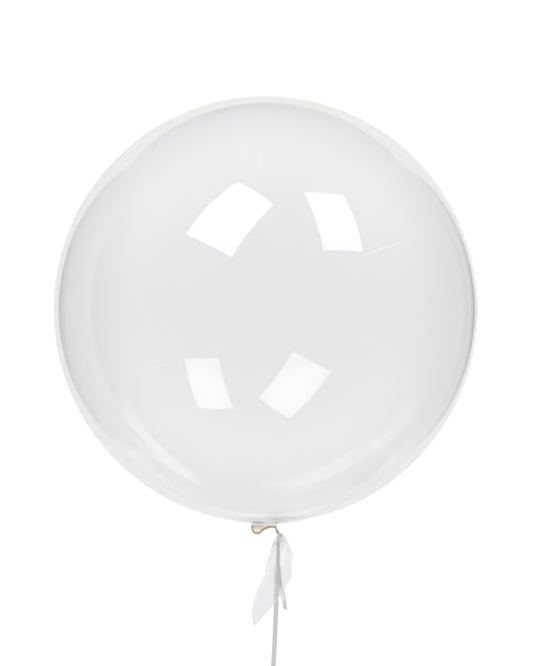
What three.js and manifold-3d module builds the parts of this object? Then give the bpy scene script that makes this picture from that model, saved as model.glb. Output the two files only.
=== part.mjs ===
// A clear bubble balloon with its knotted ribbon, lying on its side. Millimetres, +Z up.
// The origin is the centre of the small flat spot that the bubble rests on. The neck points along -Y.

import * as THREE from 'three';
import { mergeVertices } from 'three/addons/utils/BufferGeometryUtils.js';
import Module from 'manifold-3d';

const wasm = await Module();
wasm.setup();

// Bubble: nearly a ball, a little longer along the neck's axis than it is wide.
const BUBBLE_DIAMETER = 460;
const BUBBLE_LENGTH = 463;
const REST_SPOT_RADIUS = 26;
const BUBBLE_SEGMENTS = 72;
const BUBBLE_RINGS = 36;

// Gathered neck: a thin pleated web of film under the bubble, edged by the rolled lip of the film.
const WEB_THICKNESS = 2.4;
const WEB_REACH_INSIDE = 6;
const LIP_DIAMETER = 2.4;
const NECK_DIAMETER = 3.6;

// Filler tail: the flat sleeve past the knot, sagging under its own weight and cut off at a slant.
const TAIL_THICKNESS = 1.6;
const TAIL_SAG = 46;
const TAIL_PLEAT_HEIGHT = 1.2;
const TAIL_PLEATS = 2.5;
const TAIL_STEPS_ALONG = 18;
const TAIL_STEPS_ACROSS = 8;

// Ribbon: flat curling ribbon, knotted round the neck.
const RIBBON_WIDTH = 5;
const RIBBON_SOLID_THICKNESS = 1;
const KNOT_OUTER_DIAMETER = 7.2;
const KNOT_WIDTH = 3.4;
const KNOT_LUMP_DIAMETER = 4.6;
const COIL_INNER_DIAMETER = 37;
const COIL_OUTER_DIAMETER = 71.6;
const COIL_CENTRE = [41.1, -455];

// Touching pieces keep this much room between them.
const GAP = 0.3;

const bubbleRadius = BUBBLE_DIAMETER / 2;
const axisHeight = Math.sqrt(bubbleRadius ** 2 - REST_SPOT_RADIUS ** 2);
const neckY = -BUBBLE_LENGTH / 2;

// The lip's route in plan, from where it leaves the bubble on the left to the knot on the right.
const LIP_ROUTE = [
  [-15.2, 5.0],
  [-14.3, -2.3],
  [-11.9, -10.0],
  [-8.8, -10.8],
  [-2.9, -6.6],
  [3.6, -3.3],
  [10.6, -3.5],
  [13.3, -7.9],
];

// The neck's centre where the knot grips it, and the direction it runs in there.
const KNOT_PLACE = new THREE.Vector3(13.6, neckY - 9.6, axisHeight);
const KNOT_DIRECTION = new THREE.Vector3(0.1, -1, 0).normalize();

// The tail's two edges in plan, as distance across from the bubble's axis and distance past the bubble.
const TAIL_LEFT_EDGE = [
  [12.2, -14.0],
  [10.6, -18.5],
  [5.5, -30.5],
  [-0.2, -48.5],
  [-7.4, -73.0],
  [-13.0, -88.0],
  [-14.8, -98.0],
  [-12.6, -115.5],
];
const TAIL_RIGHT_EDGE = [
  [15.6, -14.0],
  [19.0, -18.5],
  [25.0, -25.0],
  [29.6, -35.0],
  [29.0, -47.0],
  [27.6, -55.0],
  [24.1, -64.5],
];

// The long end's centreline: out of the knot, down to the floor, and along it to the coil.
const FLOOR_CENTRE_HEIGHT = RIBBON_SOLID_THICKNESS / 2 + 0.05;
const LONG_END_ROUTE = [
  [13.6, -245.6, axisHeight - 3.4],
  [13.5, -251.0, axisHeight - 4.3],
  [13.4, -256.5, axisHeight - 5.8],
  [13.3, -262.0, axisHeight - 8.4],
  [13.2, -267.2, axisHeight - 12.4],
  [13.1, -271.6, axisHeight - 17.8],
  [13.0, -274.9, axisHeight - 24.4],
  [13.0, -277.2, axisHeight - 32.0],
  [12.9, -279.6, 180.0],
  [12.9, -281.2, 160.0],
  [12.8, -282.4, 140.0],
  [12.8, -283.4, 120.0],
  [12.8, -284.4, 100.0],
  [12.8, -285.6, 80.0],
  [12.8, -287.4, 60.0],
  [12.7, -290.4, 42.0],
  [12.7, -294.4, 28.0],
  [12.6, -299.6, 17.0],
  [12.6, -306.2, 8.6],
  [12.5, -314.2, 3.4],
  [12.4, -323.4, 1.0],
  [12.3, -333.0, FLOOR_CENTRE_HEIGHT],
  [11.8, -350.0, FLOOR_CENTRE_HEIGHT],
  [10.9, -370.0, FLOOR_CENTRE_HEIGHT],
  [9.8, -390.0, FLOOR_CENTRE_HEIGHT],
  [8.6, -410.0, FLOOR_CENTRE_HEIGHT],
  [7.6, -425.0, FLOOR_CENTRE_HEIGHT],
  [7.0, -437.0, FLOOR_CENTRE_HEIGHT],
];
const LONG_END_STEPS = 40;

// The short end's centreline, over the tail and out past its slanted edge.
const SHORT_END_ROUTE = [
  [13.8, -246.0, axisHeight + 4.4],
  [13.8, -252.0, axisHeight + 5.6],
  [13.8, -260.0, axisHeight + 5.4],
  [13.9, -268.0, axisHeight + 3.9],
  [14.2, -276.0, axisHeight + 1.5],
  [15.0, -285.0, axisHeight - 2.1],
  [16.3, -295.0, axisHeight - 7.0],
  [18.2, -304.5, axisHeight - 12.8],
  [20.1, -313.0, axisHeight - 18.8],
  [21.6, -319.5, axisHeight - 24.0],
];
const SHORT_END_STEPS = 12;

const film = new THREE.MeshStandardMaterial({
  name: 'clear_film',
  color: 0xe2e2e8,
  roughness: 0.05,
  metalness: 0,
  transparent: true,
  opacity: 0.3,
});
const ribbon = new THREE.MeshStandardMaterial({
  name: 'ribbon',
  color: 0xc9c9cc,
  roughness: 0.35,
  metalness: 0,
});

// ---- Helpers for solids ----------------------------------------------------------------------

// A closed three.js geometry as a manifold solid, with its faces turned outwards.
function solidOf(geometry) {
  const bare = geometry.clone();
  bare.deleteAttribute('normal');
  bare.deleteAttribute('uv');
  const merged = mergeVertices(bare, 1e-4);
  const positions = merged.attributes.position;
  const triangles = Uint32Array.from(merged.index.array);
  if (signedVolume(positions, triangles) < 0) {
    for (let i = 0; i < triangles.length; i += 3) {
      [triangles[i], triangles[i + 1]] = [triangles[i + 1], triangles[i]];
    }
  }
  const vertProperties = Float32Array.from(positions.array);
  return new wasm.Manifold(new wasm.Mesh({ numProp: 3, vertProperties, triVerts: triangles }));
}

function signedVolume(positions, triangles) {
  const a = new THREE.Vector3();
  const b = new THREE.Vector3();
  const c = new THREE.Vector3();
  let total = 0;
  for (let i = 0; i < triangles.length; i += 3) {
    a.fromBufferAttribute(positions, triangles[i]);
    b.fromBufferAttribute(positions, triangles[i + 1]);
    c.fromBufferAttribute(positions, triangles[i + 2]);
    total += a.dot(b.cross(c)) / 6;
  }
  return total;
}

// Joins the solids and gives the result back as a three.js geometry.
function joined(solids) {
  let whole = solids[0];
  for (const solid of solids.slice(1)) {
    whole = whole.add(solid);
  }
  const mesh = whole.getMesh();
  const geometry = new THREE.BufferGeometry();
  geometry.setAttribute('position', new THREE.BufferAttribute(Float32Array.from(mesh.vertProperties), 3));
  geometry.setIndex(new THREE.BufferAttribute(Uint32Array.from(mesh.triVerts), 1));
  geometry.computeVertexNormals();
  return geometry;
}

function named(name, geometry, material) {
  const mesh = new THREE.Mesh(geometry, material);
  mesh.name = name;
  return mesh;
}

function curveThrough(points) {
  return new THREE.CatmullRomCurve3(points.map((p) => new THREE.Vector3(...p)), false, 'centripetal');
}

// A point beside or past the bubble's neck end, in plan, as a point at the neck's height.
function atNeck([across, past], height = axisHeight) {
  return new THREE.Vector3(across, neckY + past, height);
}

// ---- Bubble ----------------------------------------------------------------------------------

// A ball turned about the vertical axis, flattened where it rests.
function bubbleBody() {
  const profile = [new THREE.Vector2(0, -axisHeight)];
  const spotAngle = Math.asin(REST_SPOT_RADIUS / bubbleRadius);
  for (let i = 0; i < BUBBLE_RINGS; i++) {
    const angle = spotAngle + ((Math.PI - spotAngle) * i) / BUBBLE_RINGS;
    profile.push(new THREE.Vector2(bubbleRadius * Math.sin(angle), -bubbleRadius * Math.cos(angle)));
  }
  profile.push(new THREE.Vector2(0, bubbleRadius));
  const body = new THREE.LatheGeometry(profile, BUBBLE_SEGMENTS);
  body.rotateX(Math.PI / 2);
  body.scale(1, BUBBLE_LENGTH / BUBBLE_DIAMETER, 1);
  body.translate(0, 0, axisHeight);
  return solidOf(body);
}

// ---- Gathered neck ---------------------------------------------------------------------------

function roundSection(diameter, sides) {
  const section = new THREE.Shape();
  for (let i = 0; i < sides; i++) {
    const angle = (2 * Math.PI * i) / sides;
    const x = (diameter / 2) * Math.cos(angle);
    const y = (diameter / 2) * Math.sin(angle);
    if (i === 0) section.moveTo(x, y);
    else section.lineTo(x, y);
  }
  section.closePath();
  return section;
}

function tubeAlong(curve, section, steps) {
  return new THREE.ExtrudeGeometry(section, { steps, extrudePath: curve, bevelEnabled: false });
}

// The rolled lip, from inside the bubble's wall round the loose fold to the knot.
function rolledLip() {
  const curve = curveThrough(LIP_ROUTE.map((p) => atNeck(p).toArray()));
  return solidOf(tubeAlong(curve, roundSection(LIP_DIAMETER, 8), 24));
}

// The pleated film between the bubble and its lip, as a thin plate.
function gatheredWeb() {
  const curve = curveThrough(LIP_ROUTE.map((p) => atNeck(p).toArray()));
  const outline = new THREE.Shape();
  outline.moveTo(LIP_ROUTE[0][0], neckY + WEB_REACH_INSIDE);
  for (const point of curve.getSpacedPoints(20)) {
    outline.lineTo(point.x, point.y);
  }
  outline.lineTo(KNOT_PLACE.x + NECK_DIAMETER / 2, KNOT_PLACE.y + 3);
  outline.lineTo(KNOT_PLACE.x + NECK_DIAMETER / 2, neckY + WEB_REACH_INSIDE);
  outline.closePath();
  const plate = new THREE.ExtrudeGeometry(outline, { depth: WEB_THICKNESS, bevelEnabled: false });
  plate.translate(0, 0, axisHeight - WEB_THICKNESS / 2);
  return solidOf(plate);
}

// The neck drawn together inside the knot, from the web to where the tail spreads.
function pinchedNeck() {
  const curve = curveThrough([
    atNeck([9.5, -2.0]).toArray(),
    atNeck([12.4, -5.6]).toArray(),
    KNOT_PLACE.toArray(),
    atNeck([14.0, -13.4]).toArray(),
    atNeck([14.2, -17.5], axisHeight - 0.3).toArray(),
  ]);
  return solidOf(tubeAlong(curve, roundSection(NECK_DIAMETER, 10), 10));
}

// ---- Filler tail -----------------------------------------------------------------------------

// How far the tail has sagged below the neck at a distance past the bubble.
function tailSag(past) {
  const start = -TAIL_LEFT_EDGE[0][1];
  const end = -TAIL_LEFT_EDGE[TAIL_LEFT_EDGE.length - 1][1];
  const share = Math.max(0, (-past - start) / (end - start));
  return TAIL_SAG * share ** 2;
}

// A thin pleated sheet between the tail's two edges, closed round its rim.
function fillerTail() {
  const left = curveThrough(TAIL_LEFT_EDGE.map(([across, past]) => [across, past, 0]));
  const right = curveThrough(TAIL_RIGHT_EDGE.map(([across, past]) => [across, past, 0]));
  const columns = TAIL_STEPS_ACROSS + 1;
  const rows = TAIL_STEPS_ALONG + 1;
  const positions = [];
  for (const side of [1, -1]) {
    for (let row = 0; row < rows; row++) {
      const along = row / TAIL_STEPS_ALONG;
      const a = left.getPointAt(along);
      const b = right.getPointAt(along);
      for (let column = 0; column < columns; column++) {
        const across = column / TAIL_STEPS_ACROSS;
        const place = a.clone().lerp(b, across);
        const pleat = TAIL_PLEAT_HEIGHT * Math.sin(2 * Math.PI * TAIL_PLEATS * across) * (1 - along);
        const middle = axisHeight - tailSag(place.y) + pleat * Math.min(1, 4 * along);
        positions.push(place.x, neckY + place.y, middle + (side * TAIL_THICKNESS) / 2);
      }
    }
  }
  const at = (side, row, column) => side * rows * columns + row * columns + column;
  const index = [];
  const quad = (a, b, c, d) => index.push(a, b, c, a, c, d);
  for (let row = 0; row < TAIL_STEPS_ALONG; row++) {
    for (let column = 0; column < TAIL_STEPS_ACROSS; column++) {
      quad(at(0, row, column), at(0, row + 1, column), at(0, row + 1, column + 1), at(0, row, column + 1));
      quad(at(1, row, column), at(1, row, column + 1), at(1, row + 1, column + 1), at(1, row + 1, column));
    }
    const last = TAIL_STEPS_ACROSS;
    quad(at(0, row, 0), at(1, row, 0), at(1, row + 1, 0), at(0, row + 1, 0));
    quad(at(0, row, last), at(0, row + 1, last), at(1, row + 1, last), at(1, row, last));
  }
  for (let column = 0; column < TAIL_STEPS_ACROSS; column++) {
    const end = TAIL_STEPS_ALONG;
    quad(at(0, 0, column), at(0, 0, column + 1), at(1, 0, column + 1), at(1, 0, column));
    quad(at(0, end, column), at(1, end, column), at(1, end, column + 1), at(0, end, column + 1));
  }
  const sheet = new THREE.BufferGeometry();
  sheet.setAttribute('position', new THREE.Float32BufferAttribute(positions, 3));
  sheet.setIndex(index);
  return solidOf(sheet);
}

// ---- Ribbon ----------------------------------------------------------------------------------

// The ribbon's flat section, with its long side across the ribbon and its corners taken off.
function ribbonSection() {
  const half = RIBBON_WIDTH / 2;
  const thick = RIBBON_SOLID_THICKNESS / 2;
  const corner = thick / 2;
  const section = new THREE.Shape();
  section.moveTo(half - corner, -thick);
  section.lineTo(half, -thick + corner);
  section.lineTo(half, thick - corner);
  section.lineTo(half - corner, thick);
  section.lineTo(-half + corner, thick);
  section.lineTo(-half, thick - corner);
  section.lineTo(-half, -thick + corner);
  section.lineTo(-half + corner, -thick);
  section.closePath();
  return section;
}

// The turns round the neck and the knot's lump beside them.
function ribbonKnot() {
  const inner = NECK_DIAMETER / 2 + GAP;
  const outer = KNOT_OUTER_DIAMETER / 2;
  const half = KNOT_WIDTH / 2;
  const corner = 0.5;
  const turns = new THREE.LatheGeometry(
    [
      new THREE.Vector2(inner, -half),
      new THREE.Vector2(outer - corner, -half),
      new THREE.Vector2(outer, -half + corner),
      new THREE.Vector2(outer, half - corner),
      new THREE.Vector2(outer - corner, half),
      new THREE.Vector2(inner, half),
      new THREE.Vector2(inner, -half),
    ],
    20,
  );
  const turned = new THREE.Quaternion().setFromUnitVectors(new THREE.Vector3(0, 1, 0), KNOT_DIRECTION);
  turns.applyQuaternion(turned);
  const lump = new THREE.SphereGeometry(KNOT_LUMP_DIAMETER / 2, 12, 8);
  lump.scale(1, 1, 0.8);
  lump.translate(outer * 0.9, 0, 0);
  const knot = solidOf(turns).add(solidOf(lump));
  const throat = new THREE.CylinderGeometry(inner, inner, KNOT_LUMP_DIAMETER * 2, 20);
  throat.applyQuaternion(turned);
  const geometry = joined([knot.subtract(solidOf(throat))]);
  geometry.translate(KNOT_PLACE.x, KNOT_PLACE.y, KNOT_PLACE.z);
  return geometry;
}

function ribbonStretch(route, steps) {
  return tubeAlong(curveThrough(route), ribbonSection(), steps);
}

// The wound length: a low ring lying on the floor, with the ribbon on edge inside it.
function ribbonCoil() {
  const inner = COIL_INNER_DIAMETER / 2;
  const outer = COIL_OUTER_DIAMETER / 2;
  const height = RIBBON_WIDTH + GAP;
  const ring = new THREE.LatheGeometry(
    [
      new THREE.Vector2(inner, 0),
      new THREE.Vector2(outer, 0),
      new THREE.Vector2(outer, height),
      new THREE.Vector2(inner, height),
      new THREE.Vector2(inner, 0),
    ],
    40,
  );
  ring.rotateX(Math.PI / 2);
  ring.translate(COIL_CENTRE[0], COIL_CENTRE[1], 0);
  return ring;
}

// ---- The whole balloon -----------------------------------------------------------------------

const group = new THREE.Group();
const balloonBody = joined([bubbleBody(), gatheredWeb(), rolledLip(), pinchedNeck(), fillerTail()]);
group.add(named('bubble_balloon', balloonBody, film));
group.add(named('ribbon_knot', ribbonKnot(), ribbon));
group.add(named('ribbon_short_end', ribbonStretch(SHORT_END_ROUTE, SHORT_END_STEPS), ribbon));
group.add(named('ribbon_long_end', ribbonStretch(LONG_END_ROUTE, LONG_END_STEPS), ribbon));
group.add(named('ribbon_coil', ribbonCoil(), ribbon));

export default group;
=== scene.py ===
import math

import bpy
from mathutils import Matrix, Vector, noise


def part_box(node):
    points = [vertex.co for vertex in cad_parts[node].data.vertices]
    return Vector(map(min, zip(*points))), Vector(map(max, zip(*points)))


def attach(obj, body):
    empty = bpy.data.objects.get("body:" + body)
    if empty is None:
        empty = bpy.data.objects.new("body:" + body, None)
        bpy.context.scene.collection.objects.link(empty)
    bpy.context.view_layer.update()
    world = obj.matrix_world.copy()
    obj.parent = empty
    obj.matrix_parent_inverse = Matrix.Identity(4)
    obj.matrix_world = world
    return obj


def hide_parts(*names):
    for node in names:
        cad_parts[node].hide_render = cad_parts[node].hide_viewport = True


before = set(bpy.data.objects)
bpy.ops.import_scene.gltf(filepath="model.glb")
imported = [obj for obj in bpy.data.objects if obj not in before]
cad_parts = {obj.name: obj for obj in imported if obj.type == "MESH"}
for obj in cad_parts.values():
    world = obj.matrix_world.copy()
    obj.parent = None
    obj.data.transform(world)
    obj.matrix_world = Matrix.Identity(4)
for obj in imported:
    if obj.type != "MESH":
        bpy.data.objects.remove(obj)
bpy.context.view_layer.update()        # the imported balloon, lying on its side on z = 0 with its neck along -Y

# ---- Camera ------------------------------------------------------------------------------------
# The balloon lies on the floor, and the camera looks straight down on it, with the neck at the
# bottom of the picture.

BUBBLE_RADIUS = 0.230
BUBBLE_HALF_LENGTH = 0.2315
body_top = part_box("bubble_balloon")[1].z
bubble_centre = Vector((0.0, 0.0, body_top - BUBBLE_RADIUS))

CAMERA_DISTANCE = 3.0
CAMERA_ASIDE = 0.00087
CAMERA_TOWARDS_NECK = 0.0252
LENS = 149.665
SENSOR_WIDTH = 36.0


def new_object(name, data):
    """Adds an object with the data to the scene."""
    added = bpy.data.objects.new(name, data)
    bpy.context.scene.collection.objects.link(added)
    return added


camera_data = bpy.data.cameras.new("camera")
camera_data.lens = LENS
camera_data.sensor_width = SENSOR_WIDTH
camera = new_object("camera", camera_data)
camera.location = bubble_centre + Vector((CAMERA_ASIDE, -CAMERA_TOWARDS_NECK, CAMERA_DISTANCE))
bpy.context.scene.camera = camera

# ---- Ribbon, long end --------------------------------------------------------------------------
# Curling ribbon, a flat ribbed strip of satin polypropylene 5 mm wide. It leaves the knot under
# the tail, falls to the floor, runs out along it, turns on edge and is wound up in a flat coil.

RIBBON_WIDTH = 0.005
RIBBON_BUNCHED = 0.5
RIBBON_THICKNESS = 0.00018
RIBBON_CUP = 0.00022
RIBBON_FOLD = 0.0011
RIBBON_COLUMNS = 9
RIBBON_STEP = 0.0025
SLANT_LENGTH = 0.012
LONG_END_BUNCHED_LENGTH = 0.055
SMOOTH_ANGLE = math.radians(50)

neck_height = bubble_centre.z
floor_run_height = 0.00022
long_end_route = [
    (0.0138, -0.2425, neck_height - 0.0024), (0.0137, -0.2456, neck_height - 0.0029),
    (0.0136, -0.2510, neck_height - 0.0040), (0.0136, -0.2565, neck_height - 0.0058),
    (0.0135, -0.2620, neck_height - 0.0084), (0.0135, -0.2672, neck_height - 0.0124),
    (0.0135, -0.2716, neck_height - 0.0178), (0.0135, -0.2749, neck_height - 0.0244),
    (0.0135, -0.2772, neck_height - 0.0320), (0.0134, -0.2796, 0.1800), (0.0134, -0.2812, 0.1600),
    (0.0134, -0.2824, 0.1400), (0.0134, -0.2834, 0.1200), (0.0133, -0.2844, 0.1000),
    (0.0133, -0.2856, 0.0800), (0.0133, -0.2874, 0.0600), (0.0132, -0.2904, 0.0420),
    (0.0132, -0.2944, 0.0280), (0.0131, -0.2996, 0.0170), (0.0130, -0.3062, 0.0086),
    (0.0129, -0.3142, 0.0034), (0.0127, -0.3234, 0.0010), (0.0124, -0.3330, floor_run_height),
    (0.0118, -0.3500, floor_run_height), (0.0110, -0.3700, floor_run_height),
    (0.0101, -0.3900, floor_run_height), (0.0090, -0.4100, floor_run_height),
]
TWIST_START_X = 0.0088
TWIST_START_Y = -0.414
TWIST_END_Y = -0.452
TWIST_POINTS = 5
COIL_CENTRE = Vector((0.0411, -0.455, 0.0))
COIL_OUTER_RADIUS = 0.0344
COIL_PITCH = 0.0024
COIL_TURNS = 6
COIL_STEPS_A_TURN = 72
coil_height = RIBBON_WIDTH / 2 + 0.00015
coil_start = COIL_CENTRE + Vector((-COIL_OUTER_RADIUS, 0.0, coil_height))
for i in range(1, TWIST_POINTS + 1):
    share = i / (TWIST_POINTS + 1)
    y = TWIST_START_Y + (coil_start.y - TWIST_START_Y) * share
    x = TWIST_START_X + (coil_start.x - TWIST_START_X) * math.sin(share * math.pi / 2)
    turned = min(1.0, max(0.0, (TWIST_START_Y - y) / (TWIST_START_Y - TWIST_END_Y)))
    lift = math.sin(turned * math.pi / 2)
    long_end_route.append((x, y, floor_run_height + (coil_height - floor_run_height) * lift))


def smooth_line(route, gap):
    """A centripetal curve through the route's points, as points about gap apart."""
    places = [Vector(p) for p in route]
    places = [2 * places[0] - places[1]] + places + [2 * places[-1] - places[-2]]
    line = []
    for a, b, c, d in zip(places, places[1:], places[2:], places[3:]):
        tb = (b - a).length ** 0.5
        tc = tb + (c - b).length ** 0.5
        td = tc + (d - c).length ** 0.5
        steps = max(1, round((c - b).length / gap))
        for i in range(steps):
            t = tb + (tc - tb) * i / steps
            ab = a.lerp(b, t / tb)
            bc = b.lerp(c, (t - tb) / (tc - tb))
            cd = c.lerp(d, (t - tc) / (td - tc))
            abc = ab.lerp(bc, t / tc)
            bcd = bc.lerp(cd, (t - tb) / (td - tb))
            line.append(abc.lerp(bcd, (t - tb) / (tc - tb)))
    line.append(places[-2])
    return line


def distances_along(line):
    """How far along the line each of its points is."""
    travelled = [0.0]
    for a, b in zip(line, line[1:]):
        travelled.append(travelled[-1] + (b - a).length)
    return travelled


def eased(value, start, end):
    """0 before start, 1 after end, and a smooth rise between them."""
    t = min(1.0, max(0.0, (value - start) / (end - start)))
    return t * t * (3 - 2 * t)


def new_mesh(name, vertices, ring, rows, row, ends):
    """Adds a mesh whose vertices lie in rows: ring says how each row is joined to the next, all
    the way round, and ends are the faces that close it."""
    faces = []
    for i in range(rows - 1):
        for a, b in zip(ring, ring[1:] + ring[:1]):
            faces.append((i * row + a, i * row + b, (i + 1) * row + b, (i + 1) * row + a))
    mesh = bpy.data.meshes.new(name)
    mesh.from_pydata(vertices, [], faces + ends)
    return new_object(name, mesh)


def ribbon_strip(name, line, sides, bunched_length, slant):
    """A closed flat strip along the line. sides are the directions across it. It starts bunched
    into a narrow fold, opens over bunched_length, and is cut off at a slant."""
    travelled = distances_along(line)
    last = len(line) - 1
    vertices = []
    coordinates = []
    for i, place in enumerate(line):
        along = (line[min(i + 1, last)] - line[max(i - 1, 0)]).normalized()
        side = (sides[i] - sides[i].dot(along) * along).normalized()
        face = along.cross(side)
        opened = RIBBON_BUNCHED + (1 - RIBBON_BUNCHED) * eased(travelled[i], 0.0, bunched_length)
        fold = RIBBON_FOLD * (1 - eased(travelled[i], 0.0, bunched_length))
        skew = slant * eased(travelled[i], travelled[-1] - SLANT_LENGTH, travelled[-1])
        for layer in (1, -1):
            for column in range(RIBBON_COLUMNS):
                across = 2 * column / (RIBBON_COLUMNS - 1) - 1
                rise = RIBBON_CUP * (1 - across * across) + fold * math.cos(2 * math.pi * across)
                vertices.append(
                    place
                    + side * (across * opened * RIBBON_WIDTH / 2)
                    + along * (skew * across)
                    + face * (rise - RIBBON_CUP / 2 + layer * RIBBON_THICKNESS / 2)
                )
                coordinates.append(((across + 1) / 2, travelled[i] / RIBBON_WIDTH))
    row = 2 * RIBBON_COLUMNS
    ring = list(range(RIBBON_COLUMNS)) + list(range(row - 1, RIBBON_COLUMNS - 1, -1))
    ends = []
    for a in range(RIBBON_COLUMNS - 1):
        for end_row in (0, last * row):
            top = end_row + a
            under = top + RIBBON_COLUMNS
            ends.append((top, top + 1, under + 1, under))
    strip = new_mesh(name, vertices, ring, len(line), row, ends)
    uv = strip.data.uv_layers.new(name="UVMap")
    for loop in strip.data.loops:
        uv.data[loop.index].uv = coordinates[loop.vertex_index]
    return strip


def only(piece):
    """Selects the piece alone and makes it the active object."""
    bpy.ops.object.select_all(action="DESELECT")
    piece.select_set(True)
    bpy.context.view_layer.objects.active = piece


def turn_faces_outwards(piece):
    """Recalculates the piece's normals so that they all point outwards."""
    only(piece)
    bpy.ops.object.mode_set(mode="EDIT")
    bpy.ops.mesh.select_all(action="SELECT")
    bpy.ops.mesh.normals_make_consistent(inside=False)
    bpy.ops.object.mode_set(mode="OBJECT")


long_line = smooth_line(long_end_route + [tuple(coil_start)], RIBBON_STEP)
long_sides = []
for place in long_line:
    turned = math.pi / 2 * eased(-place.y, -TWIST_START_Y, -TWIST_END_Y)
    wobble = 0.10 * math.sin(place.z * 26.0) * eased(place.z, 0.0, 0.05)
    long_sides.append(Vector((math.cos(turned), wobble, math.sin(turned))))
for i in range(1, COIL_TURNS * COIL_STEPS_A_TURN + 1):
    angle = math.pi + 2 * math.pi * i / COIL_STEPS_A_TURN
    radius = COIL_OUTER_RADIUS - COIL_PITCH * i / COIL_STEPS_A_TURN
    aside = Vector((radius * math.cos(angle), radius * math.sin(angle), coil_height))
    long_line.append(COIL_CENTRE + aside)
    long_sides.append(Vector((0.0, 0.0, 1.0)))
long_end = ribbon_strip(
    "ribbon_long_end_strip", long_line, long_sides, LONG_END_BUNCHED_LENGTH, slant=0.0
)
turn_faces_outwards(long_end)
bpy.ops.object.shade_smooth_by_angle(angle=SMOOTH_ANGLE)


def shader_node(tree, kind, place, inputs=None, **values):
    """Adds a node to the tree and sets its properties and its inputs: each input has a value, or
    the socket that feeds it."""
    node = tree.nodes.new("ShaderNode" + kind)
    node.location = place
    for key, value in values.items():
        setattr(node, key, value)
    for key, value in (inputs or {}).items():
        if isinstance(value, bpy.types.NodeSocket):
            tree.links.new(value, node.inputs[key])
        else:
            node.inputs[key].default_value = value
    return node


def map_range(tree, place, value, start, end, low=0.0, high=1.0, smooth=False):
    """A Map Range node that takes the value from start and end to low and high."""
    ends = {"Value": value, "From Min": start, "From Max": end, "To Min": low, "To Max": high}
    curve = "SMOOTHSTEP" if smooth else "LINEAR"
    return shader_node(tree, "MapRange", place, ends, interpolation_type=curve)


def blend(tree, place, factor, a, b):
    """A Mix node from colour a to colour b."""
    inputs = {"Factor": factor, "A": a, "B": b}
    return shader_node(tree, "Mix", place, inputs, data_type="RGBA").outputs["Result"]


def calculate(tree, place, operation, a, b=0.0, clamp=False):
    """The result of a Math node on two numbers or sockets."""
    node = shader_node(tree, "Math", place, {0: a, 1: b}, operation=operation, use_clamp=clamp)
    return node.outputs[0]


def connect(tree, *links):
    """Links each first socket to the second."""
    for source, target in links:
        tree.links.new(source, target)


def group_sockets(tree, inputs, outputs):
    """Gives a node group its named sockets, and returns its input and output nodes."""
    for socket_name, kind, value in inputs:
        socket = tree.interface.new_socket(name=socket_name, in_out="INPUT", socket_type=kind)
        socket.default_value = value
    for socket_name, kind in outputs:
        tree.interface.new_socket(name=socket_name, in_out="OUTPUT", socket_type=kind)
    ends = [tree.nodes.new("NodeGroupInput"), tree.nodes.new("NodeGroupOutput")]
    ends[0].location = (-1200, 0)
    ends[1].location = (800, 0)
    return ends


def new_material(name):
    """A material with its node tree and its Principled shader."""
    material = bpy.data.materials.new(name)
    material.use_nodes = True
    return material, material.node_tree, material.node_tree.nodes["Principled BSDF"]


# Satin ribbon: fine ribs along its length, cloudy sheen, and a faint change of tone down it.
RIBS_ACROSS = 14.0
RIB_HEIGHT = 0.000008

satin = bpy.data.node_groups.new("ribbon_satin", "ShaderNodeTree")
satin_in, satin_out = group_sockets(
    satin,
    [
        ("Tone", "NodeSocketColor", (0.56, 0.56, 0.57, 1.0)),
        ("Shade", "NodeSocketColor", (0.47, 0.47, 0.48, 1.0)),
        ("Ribs Across", "NodeSocketFloat", RIBS_ACROSS),
        ("Rib Height", "NodeSocketFloat", RIB_HEIGHT),
        ("Roughness", "NodeSocketFloat", 0.22),
    ],
    [
        ("Color", "NodeSocketColor"),
        ("Roughness", "NodeSocketFloat"),
        ("Normal", "NodeSocketVector"),
    ],
)
uv_map = shader_node(satin, "UVMap", (-1200, -300), uv_map="UVMap")
split = shader_node(satin, "SeparateXYZ", (-1000, -300), {0: uv_map.outputs["UV"]})
ribs_across = satin_in.outputs["Ribs Across"]
ribs_phase = calculate(satin, (-800, -300), "MULTIPLY", split.outputs["X"], ribs_across)
ribs_radians = calculate(satin, (-620, -300), "MULTIPLY", ribs_phase, 2 * math.pi)
ribs = calculate(satin, (-440, -300), "SINE", ribs_radians)
stretch = shader_node(
    satin, "Mapping", (-1000, 100), {"Scale": (6.0, 0.35, 1.0), "Vector": uv_map.outputs["UV"]}
)
streaks = shader_node(
    satin, "TexNoise", (-800, 100), {"Scale": 2.2, "Detail": 4.0, "Vector": stretch.outputs[0]}
)
tones = satin_in.outputs["Tone"], satin_in.outputs["Shade"]
toned = blend(satin, (-200, 200), streaks.outputs["Fac"], *tones)
sheen_map = map_range(satin, (-440, -60), streaks.outputs["Fac"], 0.0, 1.0, -0.06, 0.10)
satin_roughness = calculate(
    satin, (-200, -60), "ADD", sheen_map.outputs[0], satin_in.outputs["Roughness"], clamp=True
)
rib_bump = shader_node(
    satin,
    "Bump",
    (0, -300),
    {"Strength": 0.6, "Height": ribs, "Distance": satin_in.outputs["Rib Height"]},
)
connect(
    satin,
    (toned, satin_out.inputs["Color"]),
    (satin_roughness, satin_out.inputs["Roughness"]),
    (rib_bump.outputs["Normal"], satin_out.inputs["Normal"]),
)

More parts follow.
